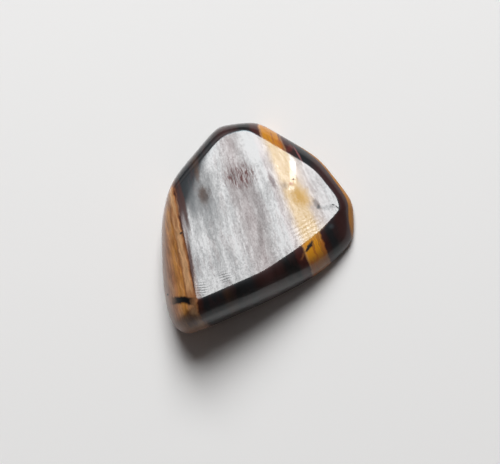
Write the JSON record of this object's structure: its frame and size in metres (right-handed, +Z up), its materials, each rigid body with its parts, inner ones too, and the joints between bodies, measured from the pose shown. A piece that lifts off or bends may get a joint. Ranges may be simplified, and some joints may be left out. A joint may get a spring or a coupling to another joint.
{
  "type": "tumbled tiger's eye pebble",
  "caption": "Tumble-polished pebble of banded tiger's eye: a low rounded wedge with a flat, sloping glossy face, round shoulders, one bevelled side and a flat foot.",
  "frame": {"origin": "centre of the bottom of the stone's bounding box, on the surface that it rests on", "axes": "+Z up through the stone's thickness, from the flat foot to the polished face; +Y along its longest extent, towards the narrow end away from the long round side; +X towards the pointed corner of the polished face"},
  "size_m": [0.0204, 0.0222, 0.0079],
  "materials": {
    "polished_tigers_eye": "polished"
  },
  "bodies": {
    "root": {"tigers_eye_stone": "polished_tigers_eye"}
  },
  "joints": []
}
